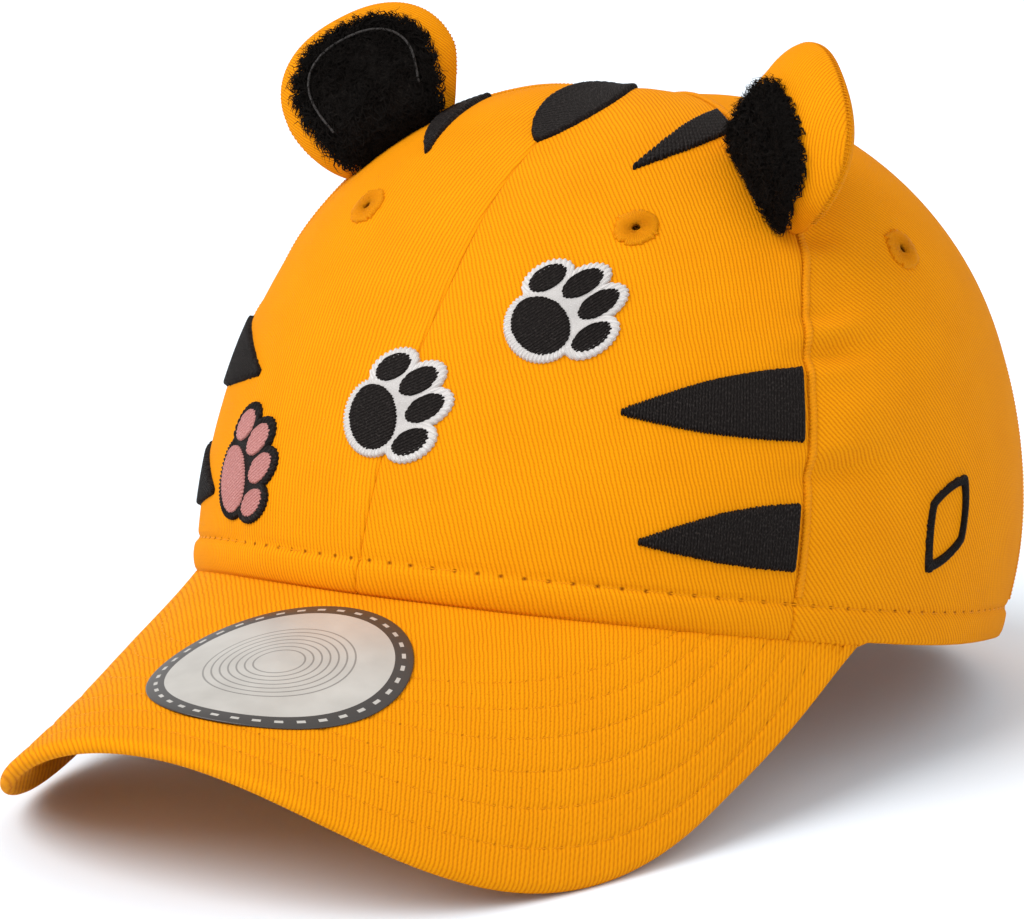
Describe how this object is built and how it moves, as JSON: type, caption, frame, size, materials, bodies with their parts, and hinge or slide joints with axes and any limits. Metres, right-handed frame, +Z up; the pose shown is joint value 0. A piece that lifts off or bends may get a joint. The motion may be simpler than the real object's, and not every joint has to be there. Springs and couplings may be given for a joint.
{
  "type": "baseball cap with ears",
  "caption": "Child's panelled baseball cap in amber twill with a curved visor, black tiger stripes, paw prints and stuffed ears with black fur.",
  "frame": {"origin": "under the middle of the outer box, on the surface that the cap stands on", "axes": "-Y points out of the visor's front, +X to the wearer's left, +Z up"},
  "size_m": [0.1514, 0.2388, 0.1358],
  "materials": {
    "amber_twill": "amber cotton twill, matt, with rows of matching stitches",
    "sweatband_twill": "amber cotton twill band, matt",
    "amber_thread": "satin-stitched amber thread with a soft sheen",
    "black_thread": "satin-stitched black thread with a soft sheen",
    "pink_thread": "satin-stitched dusty pink thread with a soft sheen",
    "ear_fur": "short ragged black pile",
    "sticker_film": "silver foil film, satin"
  },
  "bodies": {
    "root": {"front_panel_left": "amber_twill", "side_panel_left": "amber_twill", "back_panel_left": "amber_twill", "back_panel_right": "amber_twill", "side_panel_right": "amber_twill", "front_panel_right": "amber_twill", "visor": "amber_twill", "sweatband": "sweatband_twill", "strap_left": "amber_twill", "strap_right": "amber_twill", "opening_binding": "amber_twill", "ear_left": "amber_twill", "ear_fur_left": "ear_fur", "ear_right": "amber_twill", "ear_fur_right": "ear_fur", "eyelet_front_left": "amber_thread", "eyelet_front_right": "amber_thread", "eyelet_side_left": "amber_thread", "eyelet_side_right": "amber_thread", "eyelet_back_left": "amber_thread", "eyelet_back_right": "amber_thread", "stripe_top_left": "black_thread", "stripe_top_right": "black_thread", "stripe_upper_left": "black_thread", "stripe_upper_right": "black_thread", "stripe_lower_left": "black_thread", "stripe_lower_right": "black_thread", "stripe_top_center": "black_thread", "paw_print_low": "pink_thread", "paw_print_middle": "black_thread", "paw_print_high": "black_thread", "leaf_left": "black_thread", "visor_sticker": "sticker_film"}
  },
  "joints": []
}
